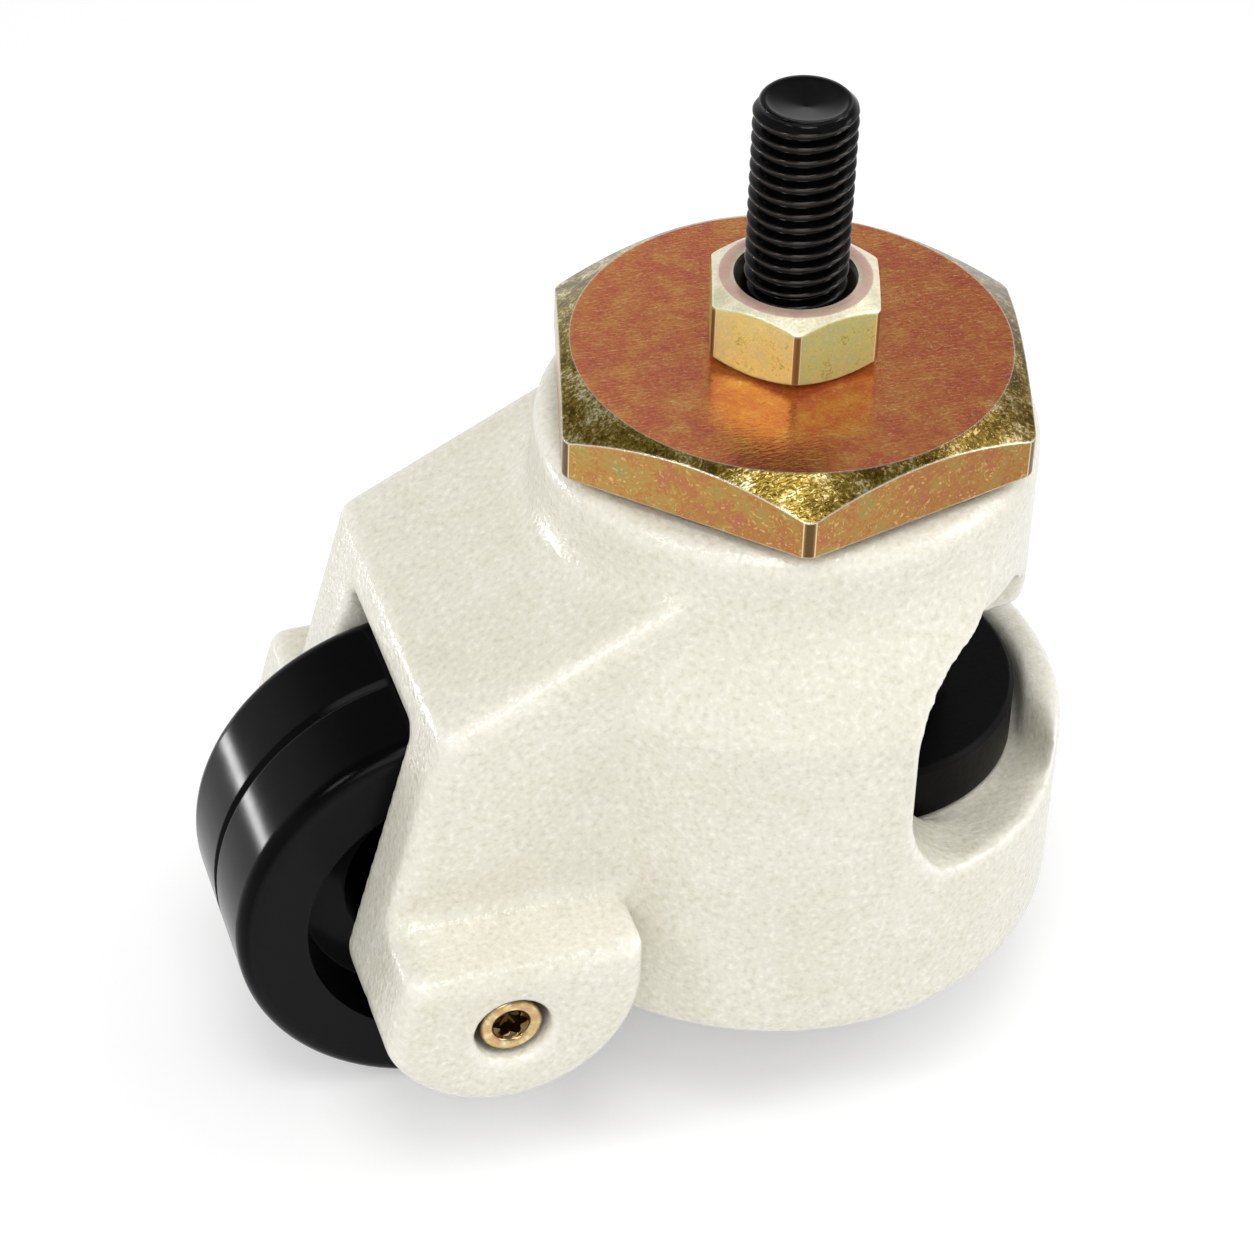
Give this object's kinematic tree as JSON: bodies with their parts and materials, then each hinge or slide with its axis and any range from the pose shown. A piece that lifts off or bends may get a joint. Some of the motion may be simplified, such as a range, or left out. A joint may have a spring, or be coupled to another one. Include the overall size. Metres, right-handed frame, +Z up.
{
  "type": "stem castor",
  "caption": "Levelling stem castor: threaded stud on a hexagon swivel plate, cast fork housing, nylon wheel, and a dial that screws a foot down to the floor.",
  "frame": {"origin": "where the swivel axis meets the floor, level with the foot pad's underside", "axes": "+Z up along the swivel axis and the stud; the wheel trails towards -X and turns about Y"},
  "size_m": [0.1057, 0.0714, 0.1266],
  "materials": {
    "housing": "ivory powder coat, fine pebble, over a die casting",
    "swivel_plate": "yellow zinc, iridescent",
    "stem_nut": "yellow zinc, pale",
    "kingpin_stud": "black oxide, oiled",
    "upper_race": "ground bearing steel",
    "lower_race": "ground bearing steel",
    "thrust_balls": "polished bearing steel",
    "thrust_cage": "stamped, bright",
    "swivel_bearing_inner": "ground bearing steel",
    "swivel_bearing_outer": "ground bearing steel",
    "swivel_bearing_balls": "polished bearing steel",
    "kingpin_washer": "zinc plated",
    "kingpin_cap": "zinc plated",
    "wheel": "black nylon, moulded",
    "wheel_bearing_outers": "ground bearing steel",
    "wheel_bearing_inners": "ground bearing steel",
    "wheel_bearing_balls": "polished bearing steel",
    "bearing_spacer": "turned steel",
    "axle_washers": "zinc plated",
    "axle_bolt": "yellow zinc, pale",
    "axle_nut": "yellow zinc, pale",
    "dial": "black nylon, satin",
    "dial_nut": "turned brass",
    "dial_washer": "natural acetal",
    "spindle": "turned steel, zinc plated",
    "guide_bush": "turned brass",
    "foot_plate": "zinc plated",
    "foot_pin": "ground steel",
    "foot_pad": "black rubber, matt"
  },
  "bodies": {
    "stem": {"kingpin_stud": "kingpin_stud", "kingpin_washer": "kingpin_washer", "swivel_plate": "swivel_plate", "stem_nut": "stem_nut", "upper_race": "upper_race", "thrust_balls": "thrust_balls", "thrust_cage": "thrust_cage", "swivel_bearing_inner": "swivel_bearing_inner"},
    "housing": {"housing": "housing", "lower_race": "lower_race", "swivel_bearing_outer": "swivel_bearing_outer", "swivel_bearing_balls": "swivel_bearing_balls", "kingpin_cap": "kingpin_cap", "guide_bush": "guide_bush", "axle_bolt": "axle_bolt", "axle_nut": "axle_nut", "axle_washers": "axle_washers", "wheel_bearing_inners": "wheel_bearing_inners", "bearing_spacer": "bearing_spacer"},
    "wheel": {"wheel": "wheel", "wheel_bearing_outers": "wheel_bearing_outers", "wheel_bearing_balls": "wheel_bearing_balls"},
    "dial": {"dial": "dial", "dial_nut": "dial_nut", "dial_washer": "dial_washer"},
    "foot": {"spindle": "spindle", "foot_plate": "foot_plate", "foot_pin": "foot_pin", "foot_pad": "foot_pad"}
  },
  "joints": [
    {"name": "swivel", "type": "hinge", "parent": "stem", "child": "housing", "pos_m": [0, 0, 0.0827], "axis": [0, 0, 1], "continuous": true},
    {"name": "wheel_spin", "type": "hinge", "parent": "housing", "child": "wheel", "pos_m": [-0.0425, 0, 0.0275], "axis": [0, 1, 0], "continuous": true},
    {"name": "dial_turn", "type": "hinge", "parent": "housing", "child": "dial", "pos_m": [0.00904, 0, 0.04], "axis": [0, 0, 1], "range_deg": [-722, 452]},
    {"name": "foot_lift", "type": "slide", "parent": "housing", "child": "foot", "axis": [0, 0, 1], "range_m": [-0.005, 0.008]}
  ],
  "couplings": [
    {"joint": "dial_turn", "follows": "foot_lift", "rad_per_m": -1570.8}
  ]
}
